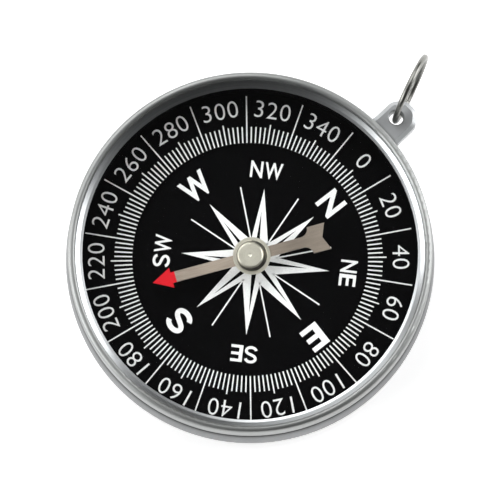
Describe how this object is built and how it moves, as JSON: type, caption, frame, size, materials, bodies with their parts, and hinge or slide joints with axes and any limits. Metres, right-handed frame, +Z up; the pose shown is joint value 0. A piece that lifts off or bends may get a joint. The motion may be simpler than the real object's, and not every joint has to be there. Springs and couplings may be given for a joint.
{
  "type": "pocket compass",
  "caption": "Round open-faced pocket compass with a printed degree ring and wind rose, a pivoted arrow needle under a flat crystal, and a carrying lug with a small split ring.",
  "frame": {"origin": "centre of the flat underside of the case", "axes": "+Z up through the dial and the crystal, +Y from the dial to the carrying lug"},
  "size_m": [0.0454, 0.0559, 0.0099],
  "materials": {
    "cast_case": "cast, matte",
    "satin_bezel": "satin",
    "bright_retainer": "bright",
    "clear_crystal": "clear, polished",
    "seal_rubber": "matte",
    "black_liner": "matte black",
    "scale_print": "black with white print",
    "rose_print": "black card with white print",
    "black_seat": "moulded, matte",
    "bush_brass": "turned",
    "pin_steel": "ground",
    "needle_steel": "satin, point painted red",
    "plated_brass": "turned, nickel plated",
    "jewel": "polished",
    "ring_steel": "bright nickel plated"
  },
  "bodies": {
    "case": {"case_body": "cast_case", "bezel": "satin_bezel", "crystal_retainer": "bright_retainer", "crystal": "clear_crystal", "crystal_seal": "seal_rubber", "wall_liner": "black_liner", "scale_ring": "scale_print", "rose_card": "rose_print", "dial_seat": "black_seat", "pivot_bush": "bush_brass", "pivot_pin": "pin_steel"},
    "needle": {"compass_needle": "needle_steel", "needle_hub": "plated_brass", "pivot_jewel": "jewel"},
    "carry_ring": {"split_ring": "ring_steel"}
  },
  "joints": [
    {"name": "needle_pivot", "type": "hinge", "parent": "case", "child": "needle", "pos_m": [0, 0, 0.00635], "axis": [0, 0, 1], "continuous": true},
    {"name": "ring_swing", "type": "hinge", "parent": "case", "child": "carry_ring", "pos_m": [-0.00027, 0.02506, 0.0039], "axis": [0, 0, 1], "range_deg": [-120, 78]}
  ]
}
